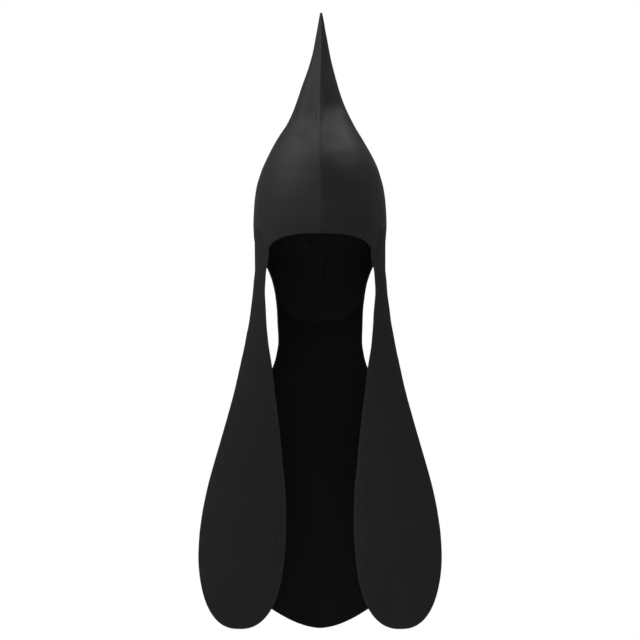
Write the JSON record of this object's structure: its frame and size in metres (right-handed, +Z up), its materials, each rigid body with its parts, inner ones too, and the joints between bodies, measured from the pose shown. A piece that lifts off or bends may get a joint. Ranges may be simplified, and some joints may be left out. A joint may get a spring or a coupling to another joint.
{
  "type": "pointed turban hood with lappets",
  "caption": "Onion-shaped cloth hood rising to a sharp peak, with an arched face opening, drop-shaped front lappets hanging from the temples and a long tail behind.",
  "frame": {"origin": "top of the wearer's head, inside the crown, on the centre line", "axes": "+Z up through the peak, -Y to the wearer's front, +X to the wearer's left"},
  "size_m": [0.2978, 0.2062, 0.7835],
  "materials": {
    "crown_cloth": "smooth black knit with a soft sheen",
    "binding_cloth": "rolled black knit hem",
    "lappet_cloth": "smooth black knit, doubled",
    "tail_cloth": "smooth black knit with a dull inside"
  },
  "bodies": {
    "root": {"crown_left": "crown_cloth", "crown_right": "crown_cloth", "face_binding": "binding_cloth", "lappet_left": "lappet_cloth", "lappet_right": "lappet_cloth", "tail_left": "tail_cloth", "tail_right": "tail_cloth"}
  },
  "joints": []
}
